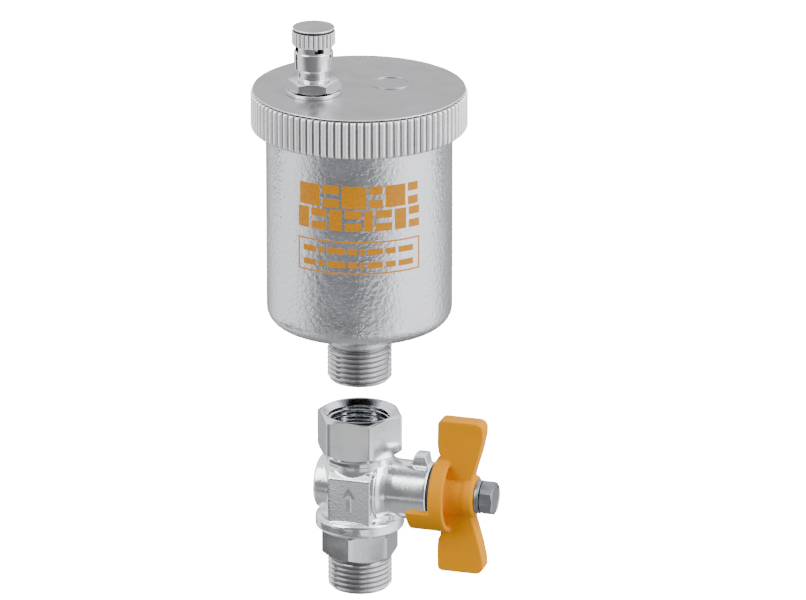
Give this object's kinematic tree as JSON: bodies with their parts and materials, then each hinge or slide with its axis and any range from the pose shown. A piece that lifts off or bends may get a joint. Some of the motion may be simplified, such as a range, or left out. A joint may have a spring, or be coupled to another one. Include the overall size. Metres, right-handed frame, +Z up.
{
  "type": "automatic air vent",
  "caption": "Float-operated automatic air vent with ribbed cover and fluted outlet cap, shown above the isolating ball valve it screws into.",
  "frame": {"origin": "centre of the valve's lower end face, where its tail thread begins", "axes": "+Z up the axis of the water way; +X along the valve's stem, towards the handle; the handle's skirt is on the -Y side"},
  "size_m": [0.064, 0.055, 0.1522],
  "materials": {
    "end_connector": "bright nickel or chrome plate over brass, machined",
    "connector_seal": "matt black ring",
    "valve_body": "bright plate over a forging, slightly rough round the branch",
    "lower_seat": "white fluoroplastic",
    "upper_seat": "white fluoroplastic",
    "stem_washer": "white fluoroplastic",
    "ball": "polished",
    "stem": "turned",
    "inner_stem_ring": "matt black ring",
    "outer_stem_ring": "matt black ring",
    "handle_washer": "matt black disc",
    "handle": "smooth yellow-orange enamel",
    "lock_washer": "dull zinc",
    "handle_bolt": "dull dark zinc",
    "vent_body": "plate over a blasted casting, with printed blocks on the front",
    "cover": "satin top, bright ribs",
    "cover_seal": "matt black ring",
    "outlet_nozzle": "bright plate over turned brass",
    "nozzle_washer": "bright flat washer",
    "outlet_cap": "bright fluted cap",
    "cap_gasket": "matt black disc",
    "obturator": "turned",
    "obturator_seal": "matt black disc",
    "bracket": "stamped stainless",
    "left_bracket_screw": "stainless",
    "right_bracket_screw": "stainless",
    "lever": "stamped stainless",
    "lever_pin": "stainless",
    "float": "moulded grey plastic",
    "float_hook": "stamped and turned"
  },
  "bodies": {
    "valve": {"end_connector": "end_connector", "connector_seal": "connector_seal", "valve_body": "valve_body", "lower_seat": "lower_seat", "upper_seat": "upper_seat", "stem_washer": "stem_washer"},
    "handle_set": {"ball": "ball", "stem": "stem", "inner_stem_ring": "inner_stem_ring", "outer_stem_ring": "outer_stem_ring", "handle_washer": "handle_washer", "handle": "handle", "lock_washer": "lock_washer", "handle_bolt": "handle_bolt"},
    "vent_travel": {"cover_seal": "cover_seal"},
    "vent": {"vent_body": "vent_body"},
    "cover_set": {"cover": "cover", "outlet_nozzle": "outlet_nozzle", "nozzle_washer": "nozzle_washer", "bracket": "bracket", "left_bracket_screw": "left_bracket_screw", "right_bracket_screw": "right_bracket_screw", "lever_pin": "lever_pin"},
    "cap_travel": {"cap_gasket": "cap_gasket"},
    "cap": {"outlet_cap": "outlet_cap"},
    "lever": {"lever": "lever"},
    "plug": {"obturator": "obturator", "obturator_seal": "obturator_seal"},
    "float_set": {"float": "float", "float_hook": "float_hook"}
  },
  "joints": [
    {"name": "handle_turn", "type": "hinge", "parent": "valve", "child": "handle_set", "pos_m": [0, 0, 0.0277], "axis": [1, 0, 0], "range_deg": [-90, 0]},
    {"name": "vent_slide", "type": "slide", "parent": "valve", "child": "vent_travel", "axis": [0, 0, 1], "range_m": [-0.01738, 0]},
    {"name": "vent_turn", "type": "hinge", "parent": "vent_travel", "child": "vent", "pos_m": [0, 0, 0.0567], "axis": [0, 0, 1], "range_deg": [-4680, 0]},
    {"name": "cover_lift", "type": "slide", "parent": "vent", "child": "cover_set", "axis": [0, 0, 1], "range_m": [0, 0.06]},
    {"name": "cap_slide", "type": "slide", "parent": "cover_set", "child": "cap_travel", "axis": [0, 0, 1], "range_m": [-0.0015, 0.0015]},
    {"name": "cap_turn", "type": "hinge", "parent": "cap_travel", "child": "cap", "pos_m": [-0.00973, -0.0072, 0.1476], "axis": [0, 0, 1], "range_deg": [-720, 720]},
    {"name": "float_lift", "type": "slide", "parent": "cover_set", "child": "float_set", "axis": [0, 0, 1], "range_m": [0, 0.0059]},
    {"name": "lever_turn", "type": "hinge", "parent": "cover_set", "child": "lever", "pos_m": [-0.01495, -0.01106, 0.1277], "axis": [0.5948, -0.8039, 0], "range_deg": [0, 18.25]},
    {"name": "plug_slide", "type": "slide", "parent": "cover_set", "child": "plug", "axis": [0, 0, 1], "range_m": [0, 0.00206]}
  ],
  "couplings": [
    {"joint": "vent_turn", "follows": "vent_slide", "rad_per_m": 4699.5},
    {"joint": "cap_turn", "follows": "cap_slide", "rad_per_m": 8377.6},
    {"joint": "lever_turn", "follows": "float_lift", "rad_per_m": 53.995},
    {"joint": "plug_slide", "follows": "float_lift", "ratio": 0.34946}
  ]
}
